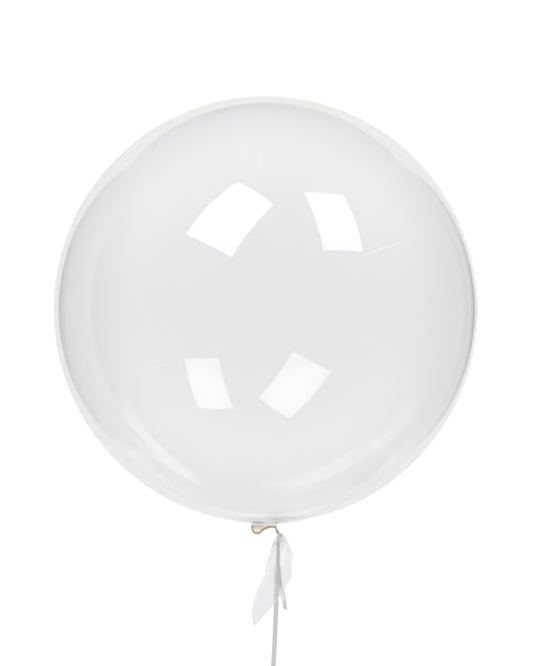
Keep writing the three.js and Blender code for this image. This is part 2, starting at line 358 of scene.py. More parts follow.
ribbon_grey, tree, shader = new_material("ribbon_grey_satin")
shader.inputs["IOR"].default_value = 1.75
shader.inputs["Coat Weight"].default_value = 1.0
shader.inputs["Coat Roughness"].default_value = 0.12
shader.inputs["Coat IOR"].default_value = 1.9
surface = shader_node(
    tree,
    "Group",
    (-300, 200),
    {"Tone": (0.61, 0.61, 0.615, 1.0), "Shade": (0.54, 0.54, 0.55, 1.0)},
    node_tree=satin,
)
connect(
    tree,
    (surface.outputs["Color"], shader.inputs["Base Color"]),
    (surface.outputs["Roughness"], shader.inputs["Roughness"]),
    (surface.outputs["Normal"], shader.inputs["Normal"]),
)
long_end.data.materials.append(ribbon_grey)
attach(long_end, "root")
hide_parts("ribbon_long_end", "ribbon_coil")

# ---- Ribbon, short end -------------------------------------------------------------------------
# The other end of the same ribbon. It leaves the knot on edge above the tail, droops over it,
# turns its face up and ends in a slanted cut past the tail's edge.

SHORT_END_BUNCHED_LENGTH = 0.012
SHORT_END_SLANT = 0.0010
ON_EDGE_TILT = -60
DROOP_TILT = 12
FACE_UP_TILT = 55

# Places on the way, with their heights from the neck's.
short_end_route = [
    (0.0136, -0.2425, 0.0022), (0.0135, -0.2460, 0.0034), (0.0133, -0.2520, 0.0050),
    (0.0133, -0.2600, 0.0052), (0.0134, -0.2680, 0.0042), (0.0136, -0.2760, 0.0022),
    (0.0144, -0.2850, -0.0008), (0.0155, -0.2950, -0.0044), (0.0166, -0.3010, -0.0054),
    (0.0177, -0.3060, -0.0034), (0.0188, -0.3110, -0.0011), (0.0198, -0.3160, 0.0012),
    (0.0206, -0.3200, 0.0027), (0.0213, -0.3242, 0.0030),
]
short_end_route = [(x, y, neck_height + above) for x, y, above in short_end_route]
short_line = smooth_line(short_end_route, RIBBON_STEP / 2)
short_sides = []
for place in short_line:
    face_up = eased(-place.y, 0.299, 0.304) * (1 - 0.80 * eased(-place.y, 0.3155, 0.3185))
    drooped = eased(-place.y, 0.265, 0.285)
    tilt = math.radians(ON_EDGE_TILT + DROOP_TILT * drooped + FACE_UP_TILT * face_up)
    short_sides.append(Vector((math.cos(tilt), 0.0, math.sin(tilt))))
short_end = ribbon_strip(
    "ribbon_short_end_strip", short_line, short_sides, SHORT_END_BUNCHED_LENGTH, SHORT_END_SLANT
)
turn_faces_outwards(short_end)
bpy.ops.object.shade_smooth_by_angle(angle=SMOOTH_ANGLE)
short_end.data.materials.append(ribbon_grey)
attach(short_end, "root")
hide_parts("ribbon_short_end")

# ---- Ribbon, knot ------------------------------------------------------------------------------
# The ribbon bunched into a cord and wound tightly round the pinched neck, then tied over itself
# in an overhand knot whose lump stands out on the right.

KNOT_PLACE = Vector((0.0134, -0.2420, neck_height))
KNOT_AXIS = Vector((0.1, -1.0, 0.0)).normalized()
WRAP_RADIUS = 0.00130
WRAP_THICKNESS = 0.00050
# Each wrap's place along the neck, how far it leans and which way.
WRAPS = [(-0.0011, 0.16, 0.0), (0.0001, -0.22, 0.9), (0.0012, 0.10, 2.1)]
LUMP_RADIUS = 0.00068
CRUMPLE_SCALE = 900.0
CRUMPLE_HEIGHT = 0.00016


def join(piece, others, name):
    """Joins the others into the piece and names it."""
    only(piece)
    for other in others:
        other.select_set(True)
    bpy.ops.object.join()
    piece.name = name
    piece.data.name = name


wraps = []
for shift, tilt, turn in WRAPS:
    bpy.ops.mesh.primitive_torus_add(
        major_segments=64, minor_segments=14, major_radius=WRAP_RADIUS, minor_radius=WRAP_THICKNESS
    )
    wrap = bpy.context.active_object
    facing = Vector((0.0, 0.0, 1.0)).rotation_difference(KNOT_AXIS).to_matrix().to_4x4()
    lean = Matrix.Rotation(turn, 4, "Z") @ Matrix.Rotation(tilt, 4, "X")
    wrap.data.transform(Matrix.Translation(KNOT_PLACE + KNOT_AXIS * shift) @ facing @ lean)
    wraps.append(wrap)
lump_route = [
    (-0.0006, -0.0002, -0.0017), (0.0010, -0.0006, -0.0021), (0.0028, -0.0009, -0.0015),
    (0.0042, -0.0014, -0.0004), (0.0046, -0.0026, 0.0004), (0.0036, -0.0036, 0.0011),
    (0.0024, -0.0028, 0.0006), (0.0028, -0.0016, 0.0010), (0.0020, -0.0006, 0.0019),
    (0.0002, -0.0002, 0.0020),
]
lump_curve = bpy.data.curves.new("knot_lump", "CURVE")
lump_curve.dimensions = "3D"
lump_curve.bevel_depth = LUMP_RADIUS
lump_curve.bevel_resolution = 3
lump_curve.use_fill_caps = True
lump_spline = lump_curve.splines.new("NURBS")
lump_spline.points.add(len(lump_route) - 1)
for point, place in zip(lump_spline.points, lump_route):
    point.co = (*(KNOT_PLACE + Vector(place)), 1.0)
lump_spline.use_endpoint_u = True
lump_spline.order_u = 4
only(new_object("knot_lump", lump_curve))
bpy.ops.object.convert(target="MESH")
knot = bpy.context.active_object
join(knot, wraps, "ribbon_knot_wraps")
for vertex in knot.data.vertices:
    vertex.co += noise.noise_vector(vertex.co * CRUMPLE_SCALE) * CRUMPLE_HEIGHT
turn_faces_outwards(knot)
bpy.ops.object.shade_smooth()
knot.data.materials.clear()


def object_coordinates(tree, place, centre=(0.0, 0.0, 0.0)):
    """Object coordinates measured from centre, as a Mapping node."""
    source = shader_node(tree, "TexCoord", (place[0] - 200, place[1]))
    moved = {"Vector": source.outputs["Object"], "Location": [-c for c in centre]}
    return shader_node(tree, "Mapping", place, moved)


def mottle(tree, shader, clouds, tones, bumps):
    """Gives the shader cloudy tones, (position, colour), and bumps that follow them."""
    place = object_coordinates(tree, (-900, 0))
    cloudy = shader_node(tree, "TexNoise", (-650, 0), {"Vector": place.outputs[0], **clouds})
    ramp = shader_node(tree, "ValToRGB", (-420, 100), {"Fac": cloudy.outputs["Fac"]})
    for element, (position, colour) in zip(ramp.color_ramp.elements, tones):
        element.position = position
        element.color = (*colour, 1.0)
    heights = {"Height": cloudy.outputs["Fac"], **bumps}
    bump = shader_node(tree, "Bump", (-420, -220), heights)
    connect(
        tree,
        (ramp.outputs["Color"], shader.inputs["Base Color"]),
        (bump.outputs["Normal"], shader.inputs["Normal"]),
    )


knot_material, tree, shader = new_material("ribbon_knot_satin")
shader.inputs["IOR"].default_value = 1.47
shader.inputs["Roughness"].default_value = 0.38
mottle(
    tree,
    shader,
    clouds={"Scale": 700.0, "Detail": 3.0},
    tones=[(0.0, (0.36, 0.34, 0.29)), (1.0, (0.58, 0.57, 0.54))],
    bumps={"Distance": 0.0002, "Strength": 0.5},
)
knot.data.materials.append(knot_material)
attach(knot, "root")
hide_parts("ribbon_knot")

# ---- Bubble ------------------------------------------------------------------------------------
# A seamless ball of thin clear plastic film, blown up tight. It rests on a small flat spot, and
# close to the neck the film draws together in fine pleats.

BUBBLE_SEGMENTS = 256
BUBBLE_RINGS = 128
FILM_THICKNESS = 0.0003
PLEAT_COUNT = 23
PLEAT_DEPTH = 0.00045
PLEAT_REACH = math.radians(9)
# The zone round the neck in which fine creases roughen the film.
CREASED_OUTSIDE = 0.055
CREASED_INSIDE = 0.020
CREASED_ROUGHNESS = 0.34

bpy.ops.mesh.primitive_uv_sphere_add(
    segments=BUBBLE_SEGMENTS,
    ring_count=BUBBLE_RINGS,
    radius=BUBBLE_RADIUS,
    location=bubble_centre,
    rotation=(math.pi / 2, 0.0, 0.0),
)
bubble = bpy.context.active_object
bubble.name = "bubble_film"
bubble.data.name = "bubble_film"
bpy.ops.object.transform_apply(location=True, rotation=True, scale=True)
bpy.ops.object.mode_set(mode="EDIT")
bpy.ops.mesh.select_all(action="SELECT")
bpy.ops.transform.resize(
    value=(1.0, BUBBLE_HALF_LENGTH / BUBBLE_RADIUS, 1.0), center_override=tuple(bubble_centre)
)
bpy.ops.mesh.select_all(action="DESELECT")
bpy.ops.object.mode_set(mode="OBJECT")
for vertex in bubble.data.vertices:
    vertex.select = vertex.co.z < 0.0
bpy.ops.object.mode_set(mode="EDIT")
bpy.ops.transform.resize(value=(1.0, 1.0, 0.0), center_override=(0.0, 0.0, 0.0))
bpy.ops.mesh.select_all(action="DESELECT")
bpy.ops.object.mode_set(mode="OBJECT")
for vertex in bubble.data.vertices:
    outward = vertex.co - bubble_centre
    from_pole = outward.angle(Vector((0.0, -1.0, 0.0)))
    if from_pole > PLEAT_REACH or vertex.co.z <= 0.0:
        continue
    around = math.atan2(outward.z, outward.x)
    uneven = 0.55 + 0.45 * math.sin(3 * around + 0.8) * math.sin(5 * around + 2.1)
    pleat = 0.5 + 0.5 * math.cos(PLEAT_COUNT * around + 1.6 * math.sin(2 * around + 0.4))
    fade = 1 - eased(from_pole, 0.02, PLEAT_REACH * (0.62 + 0.38 * uneven))
    fade *= eased(from_pole, 0.0, 0.03)
    vertex.co -= outward.normalized() * (PLEAT_DEPTH * uneven * pleat * fade)


def thicken(piece, thickness, offset):
    """Gives the film a wall: inwards from its surface with offset -1, to both sides with 0."""
    only(piece)
    wall = piece.modifiers.new("wall", "SOLIDIFY")
    wall.thickness = thickness
    wall.offset = offset
    bpy.ops.object.modifier_apply(modifier="wall")


thicken(bubble, FILM_THICKNESS, -1.0)
bpy.ops.object.shade_smooth()

# Plastic film: a faint cloudy haze and very slight ripples, from which the gloss gets its life.
haze = bpy.data.node_groups.new("film_haze", "ShaderNodeTree")
haze_in, haze_out = group_sockets(
    haze,
    [
        ("Clear Roughness", "NodeSocketFloat", 0.01),
        ("Hazy Roughness", "NodeSocketFloat", 0.03),
        ("Haze Scale", "NodeSocketFloat", 7.0),
        ("Ripple Scale", "NodeSocketFloat", 12.0),
        ("Ripple Height", "NodeSocketFloat", 0.00002),
    ],
    [("Roughness", "NodeSocketFloat"), ("Normal", "NodeSocketVector")],
)
haze_place = object_coordinates(haze, (-1000, -260))
cloud = shader_node(
    haze,
    "TexNoise",
    (-700, 0),
    {"Detail": 5.0, "Vector": haze_place.outputs[0], "Scale": haze_in.outputs["Haze Scale"]},
)
roughnesses = haze_in.outputs["Clear Roughness"], haze_in.outputs["Hazy Roughness"]
cloud_map = map_range(haze, (-450, 0), cloud.outputs["Fac"], 0.35, 0.75, *roughnesses)
ripple = shader_node(
    haze,
    "TexNoise",
    (-700, -300),
    {"Detail": 1.5, "Vector": haze_place.outputs[0], "Scale": haze_in.outputs["Ripple Scale"]},
)
ripple_bump = shader_node(
    haze,
    "Bump",
    (-450, -300),
    {
        "Strength": 1.0,
        "Height": ripple.outputs["Fac"],
        "Distance": haze_in.outputs["Ripple Height"],
    },
)
connect(
    haze,
    (cloud_map.outputs[0], haze_out.inputs["Roughness"]),
    (ripple_bump.outputs["Normal"], haze_out.inputs["Normal"]),
)


def hazy_surface(tree, place, haze_values):
    """The film's haze: clear roughness, hazy roughness, haze scale, ripple scale and height."""
    return shader_node(tree, "Group", place, dict(enumerate(haze_values)), node_tree=haze)


def film_material(name, clarity, shadow_tint, haze_values):
    """Clear film that lets light through to what lies behind it, without a hard shadow."""
    material, tree, shader = new_material(name)
    shader.inputs["Transmission Weight"].default_value = clarity
    shader.inputs["IOR"].default_value = 1.45
    surface = hazy_surface(tree, (-300, -100), haze_values)
    rays = shader_node(tree, "LightPath", (-100, 500))
    soft_rays = rays.outputs["Is Shadow Ray"], rays.outputs["Is Diffuse Ray"]
    soft_rays = calculate(tree, (100, 500), "MAXIMUM", *soft_rays)
    through = shader_node(tree, "BsdfTransparent", (100, 350), {"Color": (*shadow_tint, 1.0)})
    shaders = {"Fac": soft_rays, 1: shader.outputs[0], 2: through.outputs[0]}
    mixed = shader_node(tree, "MixShader", (400, 300), shaders)
    connect(
        tree,
        (surface.outputs["Roughness"], shader.inputs["Roughness"]),
        (surface.outputs["Normal"], shader.inputs["Normal"]),
        (mixed.outputs[0], tree.nodes["Material Output"].inputs["Surface"]),
    )
    return material, tree, shader


bubble_film, tree, shader = film_material(
    "clear_film",
    clarity=1.0,
    shadow_tint=(0.99, 0.99, 0.99),
    haze_values=(0.008, 0.022, 6.0, 9.0, 0.00004),
)
shader.inputs["Base Color"].default_value = (0.9205, 0.9215, 0.9330, 1.0)
# Round the neck the film is drawn together in fine creases, which blur what it mirrors: the ribbon
# and the pinched neck right next to it don't show in its gloss.
for piece in (long_end, short_end, knot):
    piece.visible_glossy = False
smooth_roughness = shader.inputs["Roughness"].links[0].from_socket
neck_point = (0.0060, -BUBBLE_HALF_LENGTH, bubble_centre.z)
place = object_coordinates(tree, (-900, 500), neck_point)
from_neck = shader_node(tree, "VectorMath", (-700, 500), {0: place.outputs[0]}, operation="LENGTH")
zone = from_neck.outputs["Value"], CREASED_OUTSIDE, CREASED_INSIDE
creased = map_range(tree, (-500, 500), *zone, 0.0, CREASED_ROUGHNESS, smooth=True)
roughness = calculate(tree, (-250, 400), "ADD", creased.outputs[0], smooth_roughness, clamp=True)
tree.links.new(roughness, shader.inputs["Roughness"])
bubble.data.materials.append(bubble_film)
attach(bubble, "root")
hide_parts("bubble_balloon")

# ---- Gathered neck -----------------------------------------------------------------------------
# The sleeve through which the bubble was filled, drawn flat under it in pleats. Its edge is
# rolled over into a thick amber lip, and on the right it is pinched into the knot.

neck_y = -BUBBLE_HALF_LENGTH
LIP_ROUTE = [
    (-0.0149, -0.0024), (-0.0144, -0.0046), (-0.0141, -0.0068), (-0.0134, -0.0084),
    (-0.0123, -0.0098), (-0.0104, -0.0107), (-0.0083, -0.0107), (-0.0067, -0.0100),
    (-0.0054, -0.0090), (-0.0040, -0.0079), (-0.0027, -0.0068), (-0.0005, -0.0058),
    (0.0019, -0.0047), (0.0046, -0.0039), (0.0073, -0.0038), (0.0094, -0.0043), (0.0108, -0.0052),
    (0.0119, -0.0068), (0.0122, -0.0084), (0.0129, -0.0100),
]
LIP_RADIUS = 0.00112
LIP_UNEVENNESS = 0.12
LIP_FLUTES = 3
LIP_FLUTE_DEPTH = 0.10
LIP_SIDES = 24
WEB_LEFT = -0.0150
WEB_WIDTH = 0.0270
WEB_TOP_PAST = 0.0006
WEB_COLUMNS = 72
WEB_ROWS = 12
WEB_BULGE = 0.0016
WEB_PLEAT = 0.0003
WEB_WALL = 0.00022

lip_line = smooth_line([(x, neck_y + past, neck_height) for x, past in LIP_ROUTE], 0.0004)
lip_travelled = distances_along(lip_line)


def on_lip(share):
    """The place a share of the way along the lip, from left to right."""
    wanted = share * lip_travelled[-1]
    for i in range(1, len(lip_line)):
        if lip_travelled[i] >= wanted:
            step = lip_travelled[i] - lip_travelled[i - 1]
            return lip_line[i - 1].lerp(lip_line[i], (wanted - lip_travelled[i - 1]) / step)
    return lip_line[-1]


webs = []
for layer in (1, -1):
    bpy.ops.mesh.primitive_grid_add(x_subdivisions=WEB_COLUMNS, y_subdivisions=WEB_ROWS, size=2.0)
    web = bpy.context.active_object
    for vertex in web.data.vertices:
        share = (vertex.co.x + 1) / 2
        down = (1 - vertex.co.y) / 2
        top = Vector((WEB_LEFT + WEB_WIDTH * share, neck_y - WEB_TOP_PAST, neck_height))
        place = top.lerp(on_lip(share), down)
        swell = math.sin(math.pi * min(1.0, 0.35 + 0.65 * down)) if down < 1 else 0.0
        pleat = math.sin(2 * math.pi * 7 * share + 2.2 * down + 0.9 * layer)
        fine = math.sin(2 * math.pi * 17 * share - 1.4 * down)
        pleated = (WEB_PLEAT * pleat + 0.3 * WEB_PLEAT * fine) * (1 - down) ** 0.6
        height = WEB_BULGE * swell + pleated
        place.z += layer * max(0.0001, height)
        vertex.co = place
    webs.append(web)
gathered = webs[0]
join(gathered, webs[1:], "gathered_neck_film")
thicken(gathered, WEB_WALL, 0.0)
turn_faces_outwards(gathered)
bpy.ops.object.shade_smooth()

NECK_RADIUS = 0.0011
NECK_FLUTES = 9
NECK_FLUTE_DEPTH = 0.13
NECK_SIDES = 72
neck_line = smooth_line(
    [
        (0.0121, neck_y - 0.0080, neck_height),
        (0.0128, neck_y - 0.0094, neck_height),
        tuple(KNOT_PLACE),
        (0.0136, neck_y - 0.0135, neck_height),
        (0.0138, neck_y - 0.0175, neck_height - 0.0003),
    ],
    0.0005,
)


def fluted_tube(name, line, radius_at, flutes, flute_depth, sides):
    """A closed tube along the line, with lengthwise folds all round it."""
    travelled = distances_along(line)
    last = len(line) - 1
    vertices = []
    for i, place in enumerate(line):
        along = (line[min(i + 1, last)] - line[max(i - 1, 0)]).normalized()
        up = Vector((0.0, 0.0, 1.0))
        side = along.cross(up).normalized()
        share = travelled[i] / travelled[-1]
        for j in range(sides):
            angle = 2 * math.pi * j / sides
            fold = 1 + flute_depth * math.cos(flutes * angle + 2.5 * share)
            reach = radius_at(share) * fold
            beside = place + side * (reach * math.cos(angle))
            vertices.append(beside + up * (reach * math.sin(angle)))
    ring = list(range(sides))
    ends = [ring, [last * sides + j for j in reversed(ring)]]
    tube = new_mesh(name, vertices, ring, len(line), sides, ends)
    turn_faces_outwards(tube)
    bpy.ops.object.shade_smooth()
    return tube


def neck_radius(share):
    """Wide where it leaves the web, tight in the knot and wider again where the tail starts."""
    pinch = eased(share, 0.0, 0.4) * (1 - 0.5 * eased(share, 0.72, 1.0))
    return NECK_RADIUS * (1.35 - 0.40 * pinch)


pinched = fluted_tube(
    "pinched_neck_film", neck_line, neck_radius, NECK_FLUTES, NECK_FLUTE_DEPTH, NECK_SIDES
)

gathered_film, tree, shader = new_material("gathered_film")
shader.inputs["IOR"].default_value = 1.45
place = object_coordinates(tree, (-900, 0))
split = shader_node(tree, "SeparateXYZ", (-700, 100), {0: place.outputs[0]})
pouch_depth = map_range(tree, (-500, 100), split.outputs["Y"], neck_y - 0.0068, neck_y - 0.0042)
pouch_tone = shader_node(tree, "ValToRGB", (-300, 100), {"Fac": pouch_depth.outputs[0]})
pouch_tone.color_ramp.elements[0].color = (0.82, 0.73, 0.43, 1.0)
pouch_tone.color_ramp.elements[1].color = (0.38, 0.27, 0.20, 1.0)
# How much of it shows: most of the pouch on the left, where the film is thickest.
across = map_range(tree, (-500, 350), split.outputs["X"], 0.0, -0.0045, 0.13, 0.19, smooth=True)
below = map_range(
    tree, (-500, 600), split.outputs["Y"], neck_y - 0.0002, neck_y - 0.0026, 0.35, smooth=True
)
thickness = calculate(tree, (-250, 450), "MULTIPLY", across.outputs[0], below.outputs[0])
surface = hazy_surface(tree, (-300, -200), (0.18, 0.35, 120.0, 300.0, 0.0003))
connect(
    tree,
    (thickness, shader.inputs["Alpha"]),
    (pouch_tone.outputs["Color"], shader.inputs["Base Color"]),
    (surface.outputs["Roughness"], shader.inputs["Roughness"]),
    (surface.outputs["Normal"], shader.inputs["Normal"]),
)
gathered.data.materials.append(gathered_film)


def lip_radius(share):
    """The lip is rolled a little thicker here and there."""
    return LIP_RADIUS * (1 - LIP_UNEVENNESS * math.sin(9 * share) ** 2)


lip = fluted_tube("rolled_lip", lip_line, lip_radius, LIP_FLUTES, LIP_FLUTE_DEPTH, LIP_SIDES)
lip_material, tree, shader = new_material("rolled_lip_amber")
shader.inputs["IOR"].default_value = 1.45
shader.inputs["Roughness"].default_value = 0.28
shader.inputs["Transmission Weight"].default_value = 0.15
mottle(
    tree,
    shader,
    clouds={"Scale": 420.0, "Detail": 2.0},
    tones=[(0.35, (0.345, 0.31, 0.18)), (0.70, (0.50, 0.465, 0.33))],
    bumps={"Distance": 0.0003, "Strength": 0.6},
)
lip.data.materials.append(lip_material)
pinched.data.materials.append(lip_material)
pinched.visible_glossy = False
for piece in (gathered, pinched, lip):
    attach(piece, "root")
    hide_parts("bubble_balloon")

# ---- Filler tail -------------------------------------------------------------------------------
# The rest of the filling sleeve past the knot: two layers of the same thin film lying on each
# other, fanned out of the knot in pleats, creased lower down and cut off at a slant.

TAIL_LEFT_EDGE = [
    (0.0122, -0.0140), (0.0102, -0.0180), (0.0074, -0.0233), (0.0058, -0.0290), (0.0047, -0.0342),
    (0.0023, -0.0407), (0.0002, -0.0472), (-0.0010, -0.0559), (-0.0037, -0.0620),
    (-0.0077, -0.0712), (-0.0113, -0.0810), (-0.0146, -0.0948), (-0.0149, -0.1065),
    (-0.0131, -0.1163),
]
TAIL_RIGHT_EDGE = [
    (0.0176, -0.0112), (0.0213, -0.0146), (0.0223, -0.0179), (0.0243, -0.0211), (0.0272, -0.0277),
    (0.0299, -0.0331), (0.0291, -0.0375), (0.0279, -0.0429), (0.0285, -0.0494), (0.0282, -0.0549),
    (0.0269, -0.0603), (0.0240, -0.0660),
]
CUT_BOW = 0.0013
TAIL_SAG = 0.046
TAIL_PLEATS = 3.5
TAIL_PLEAT = 0.0013
TAIL_CURL = 0.0012
TAIL_ROWS = 130
TAIL_COLUMNS = 56
SLEEVE_GAP = 0.0007
SLEEVE_WALL = 0.00012


def evenly(route, count):
    """count places at even distances along a flat route."""
    line = smooth_line([(x, y, 0.0) for x, y in route], 0.0005)
    travelled = distances_along(line)
    places = []
    i = 1
    for step in range(count):
        wanted = travelled[-1] * step / (count - 1)
        while i < len(line) - 1 and travelled[i] < wanted:
            i += 1
        share = (wanted - travelled[i - 1]) / (travelled[i] - travelled[i - 1])
        places.append(line[i - 1].lerp(line[i], share))
    return places


left_places = evenly(TAIL_LEFT_EDGE, TAIL_ROWS + 1)
right_places = evenly(TAIL_RIGHT_EDGE, TAIL_ROWS + 1)
tail_start = -TAIL_LEFT_EDGE[0][1]
tail_end = -TAIL_LEFT_EDGE[-1][1]

# Creases: where each starts and ends as (across, down) in shares of the tail, its height and half
# its width across.
TAIL_CREASES = [
    ((0.62, 0.00), (0.78, 0.55), 0.0016, 0.075),
    ((0.40, 0.00), (0.30, 0.62), -0.0011, 0.070),
    ((0.82, 0.04), (0.93, 0.42), -0.0012, 0.060),
    ((0.18, 0.02), (0.10, 0.50), 0.0009, 0.060),
    ((0.52, 0.10), (0.56, 0.90), 0.0008, 0.090),
    ((0.15, 0.45), (0.60, 0.62), 0.0006, 0.050),
    ((0.30, 0.78), (0.80, 0.70), -0.0005, 0.060),
]


def from_line(start, end, place):
    """How far along a line a place lies, as a share of it, and how far off the line."""
    line = Vector(end) - Vector(start)
    from_start = Vector(place) - Vector(start)
    share = from_start.dot(line) / line.length_squared
    near = min(1.0, max(0.0, share))
    return share, (from_start - line * near).length


def crease_height(across, down):
    """How far the tail's creases lift it at a place."""
    height = 0.0
    for start, end, rise, half_width in TAIL_CREASES:
        share, off = from_line(start, end, (across, down))
        fade = 1 - eased(share, 0.55, 1.25)
        height += rise * fade * math.exp(-abs(off / half_width) ** 1.3)
    return height


# Painted light and shade along the tail's creases: lines between two places of the flat tail, how
# much lighter or darker the film's colour is painted along them, and half their width. The lighter
# lines are painted highlights where the creased film catches the light; the darker ones are
# painted shade, along creases where the film also lies doubled.
TAIL_LIGHT_AND_SHADE_STREAKS = [
    ((0.0218, -0.2548), (0.0174, -0.2764), 1.2, 0.0012),
    ((0.0105, -0.2630), (0.0094, -0.2790), 0.5, 0.0014),
    ((0.0070, -0.2610), (0.0050, -0.2780), 0.3, 0.0030),
    ((0.0164, -0.2514), (0.0182, -0.2640), -0.6, 0.0016),
    ((0.0196, -0.2480), (0.0238, -0.2605), -1.1, 0.0030),
    ((0.0040, -0.2900), (0.0062, -0.2930), -0.3, 0.0020),
    ((0.0248, -0.2640), (0.0232, -0.2900), -0.6, 0.0040),
]
TAIL_EDGE_BAND = 0.0011


def painted_streak(x, y):
    """How much lighter or darker the tail is painted at a place, by its light and shade streaks."""
    value = 0.0
    for start, end, strength, half_width in TAIL_LIGHT_AND_SHADE_STREAKS:
        off = from_line(start, end, (x, y))[1]
        value += strength * math.exp(-((off / half_width) ** 2))
    return value


bpy.ops.mesh.primitive_grid_add(x_subdivisions=TAIL_COLUMNS, y_subdivisions=TAIL_ROWS, size=2.0)
tail = bpy.context.active_object
tail.name = "filler_tail_sleeve"
tail.data.name = "filler_tail_sleeve"
painted_light_values = []
for vertex in tail.data.vertices:
    across = (vertex.co.x + 1) / 2
    down = (1 - vertex.co.y) / 2
    row = min(TAIL_ROWS, max(0, round(down * TAIL_ROWS)))
    place = left_places[row].lerp(right_places[row], across)
    bow = CUT_BOW * math.sin(math.pi * across) * eased(down, 0.8, 1.0)
    place += Vector((bow, -0.75 * bow, 0.0))
    share = max(0.0, (-place.y - tail_start) / (tail_end - tail_start))
    sag = TAIL_SAG * share * share
    pleats = TAIL_PLEAT * math.sin(2 * math.pi * TAIL_PLEATS * across + 0.6)
    pleats *= 1 - eased(down, 0.05, 0.55)
    pleats *= eased(down, 0.0, 0.10) * 0.8 + 0.2
    curl = TAIL_CURL * math.sin(math.pi * across * 1.2 + 0.5) * eased(down, 0.3, 1.0)
    creases = crease_height(across, down) * eased(down, 0.0, 0.06)
    height = neck_height - sag + pleats + curl + creases
    # The film is painted darker in a narrow band along its sides and along its cut.
    width = (right_places[row] - left_places[row]).length
    from_side = min(across, 1 - across) * width
    from_cut = (1 - down) * TAIL_EDGE_BAND * 60
    edge_band = math.exp(-((min(from_side, from_cut) / TAIL_EDGE_BAND) ** 2)) * eased(width, 0.004, 0.012)
    painted_light_values.append(painted_streak(place.x, neck_y + place.y) - 0.8 * edge_band)
    vertex.co = (place.x, neck_y + place.y, height)
# The folds attribute holds painted light and shade for the film's colour: the lighter and darker streaks and
# the darker band along the sides and the cut.
folds = tail.data.attributes.new(name="folds", type="FLOAT", domain="POINT")
for vertex, value in zip(tail.data.vertices, painted_light_values):
    folds.data[vertex.index].value = value
# The sleeve's outside first, and then the film's own wall inside it.
thicken(tail, SLEEVE_GAP, 0.0)
turn_faces_outwards(tail)
thicken(tail, SLEEVE_WALL, -1.0)
bpy.ops.object.shade_smooth_by_angle(angle=SMOOTH_ANGLE)

tail_film, tree, shader = film_material(
    "tail_film",
    clarity=0.90,
    shadow_tint=(0.98, 0.98, 0.98),
    haze_values=(0.02, 0.06, 60.0, 90.0, 0.00008),
)
# Painted light and shade: the folds attribute makes the film's colour lighter along the painted highlights and
# darker along the painted shade and the edge band.
painted_light_attribute = shader_node(tree, "Attribute", (-900, 300), attribute_name="folds")
painted_light_tint = map_range(tree, (-650, 300), painted_light_attribute.outputs["Fac"], -1.0, 1.0, 0.955, 1.025)
place = object_coordinates(tree, (-900, 600))
split = shader_node(tree, "SeparateXYZ", (-700, 600), {0: place.outputs[0]})
lower = map_range(tree, (-500, 600), split.outputs["Y"], -0.275, -0.315)
upper_tint = (0.967, 0.967, 0.973, 1.0)
lower_tint = (0.945, 0.948, 0.971, 1.0)
tail_tint = blend(tree, (-300, 600), lower.outputs[0], upper_tint, lower_tint)
tinted = shader_node(
    tree,
    "VectorMath",
    (-120, 450),
    {0: tail_tint, "Scale": painted_light_tint.outputs[0]},
    operation="SCALE",
)
# Mirrored in the ball, the sleeve is plain pale film.
mixed = tree.nodes["Material Output"].inputs["Surface"].links[0].from_node
rays = shader_node(tree, "LightPath", (-100, 800))
in_a_mirror = calculate(tree, (100, 800), "GREATER_THAN", rays.outputs["Glossy Depth"], 0.5)
soft_rays = mixed.inputs["Fac"].links[0].from_socket
plain_rays = calculate(tree, (300, 700), "MAXIMUM", in_a_mirror, soft_rays)
connect(
    tree,
    (tinted.outputs[0], shader.inputs["Base Color"]),
    (plain_rays, mixed.inputs["Fac"]),
)
tail.data.materials.append(tail_film)
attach(tail, "root")
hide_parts("bubble_balloon")

# ---- Floor -------------------------------------------------------------------------------------
# A plain pale studio floor, out of the way of what the film mirrors.

FLOOR_SIZE = 16.0
FLOOR_BELOW = 0.0004

bpy.ops.mesh.primitive_plane_add(size=FLOOR_SIZE, location=(0.0, 0.0, -FLOOR_BELOW))
floor = bpy.context.active_object
floor.name = "studio_floor"
bpy.ops.object.transform_apply(location=True, rotation=True, scale=True)
floor_material, tree, shader = new_material("studio_floor")
shader.inputs["Roughness"].default_value = 1.0
shader.inputs["Specular IOR Level"].default_value = 0.0
place = object_coordinates(tree, (-700, 0))
paper = shader_node(tree, "TexNoise", (-500, 0), {"Scale": 1.5, "Vector": place.outputs[0]})
paper_greys = (0.945, 0.945, 0.945, 1.0), (0.955, 0.955, 0.955, 1.0)
paper_tone = blend(tree, (-300, 0), paper.outputs["Fac"], *paper_greys)
rays = shader_node(tree, "LightPath", (-100, 500))
is_mirrored = calculate(tree, (100, 500), "GREATER_THAN", rays.outputs["Glossy Depth"], 0.5)
nothing = shader_node(tree, "BsdfTransparent", (100, 350))
shaders = {"Fac": is_mirrored, 1: shader.outputs[0], 2: nothing.outputs[0]}
mixed = shader_node(tree, "MixShader", (400, 300), shaders)
connect(
    tree,
    (paper_tone, shader.inputs["Base Color"]),
    (mixed.outputs[0], tree.nodes["Material Output"].inputs["Surface"]),
)
floor.data.materials.append(floor_material)

# ---- Lights ------------------------------------------------------------------------------------
# Two upright softboxes past the balloon's far side make the four window-shaped highlights. A
# large dim panel overhead and the pale room light everything else evenly.


def softbox(name, centre, across, upward, width, height, radiance):
    """A rectangular lamp facing against across x upward."""
    data = bpy.data.lights.new(name, "AREA")
    data.shape = "RECTANGLE"
    data.size = width
    data.size_y = height
    data.energy = radiance * math.pi * width * height
    lamp = new_object(name, data)
    x_axis = Vector(across).normalized()
    z_axis = x_axis.cross(Vector(upward)).normalized()
    y_axis = z_axis.cross(x_axis)
    turned = Matrix((x_axis, y_axis, z_axis)).transposed().to_4x4()
    lamp.matrix_world = Matrix.Translation(bubble_centre + Vector(centre)) @ turned
    return lamp


